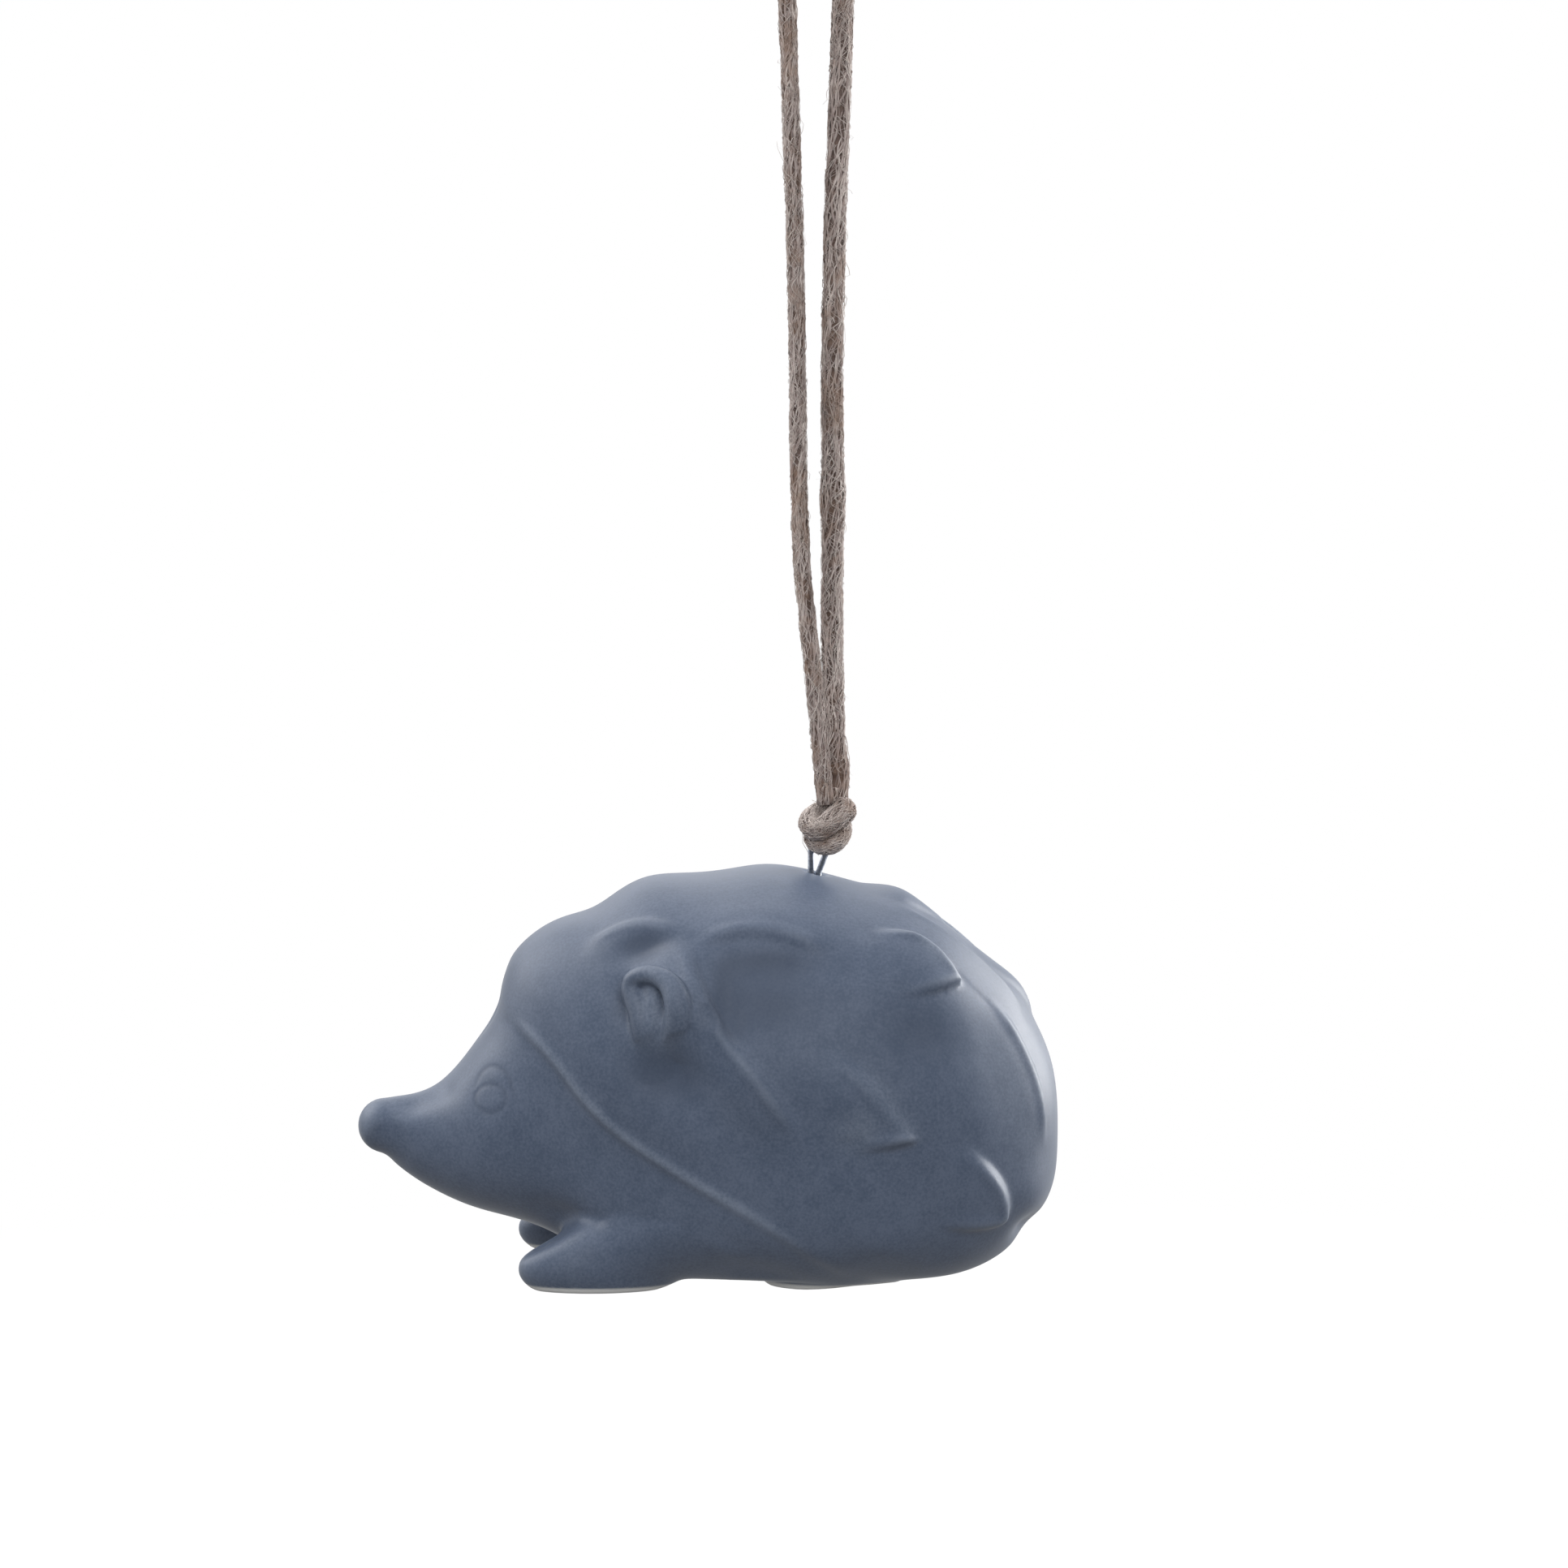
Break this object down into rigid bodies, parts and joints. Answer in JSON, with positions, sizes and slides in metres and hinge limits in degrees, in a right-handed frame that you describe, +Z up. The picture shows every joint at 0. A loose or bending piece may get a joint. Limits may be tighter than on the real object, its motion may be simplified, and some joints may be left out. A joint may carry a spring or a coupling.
{
  "type": "hanging hedgehog ornament",
  "caption": "Glazed ceramic hedgehog ornament hung from a knotted twine loop by a wire hairpin through the top of its back; it swings and turns freely.",
  "frame": {"origin": "inside of the twine loop's top bend, where the hook or peg that carries the ornament touches it", "axes": "+Z up, against gravity as it hangs; -X towards the nose; +Y towards the hedgehog's right flank"},
  "size_m": [0.0707, 0.0408, 0.1321],
  "materials": {
    "glaze": "satin",
    "wire": "drawn",
    "twine": "jute"
  },
  "bodies": {
    "twine": {"twine_loop": "twine", "twine_knot": "twine"},
    "wire": {"wire_hanger": "wire"},
    "hedgehog": {"ceramic_body": "glaze"}
  },
  "joints": [
    {"name": "wire_swing", "type": "hinge", "parent": "twine", "child": "wire", "pos_m": [0.00075, 0, -0.0858], "axis": [0, 1, 0], "range_deg": [-20, 20]},
    {"name": "body_spin", "type": "hinge", "parent": "wire", "child": "hedgehog", "pos_m": [0, 0, -0.09], "axis": [0, 0, 1], "continuous": true}
  ]
}
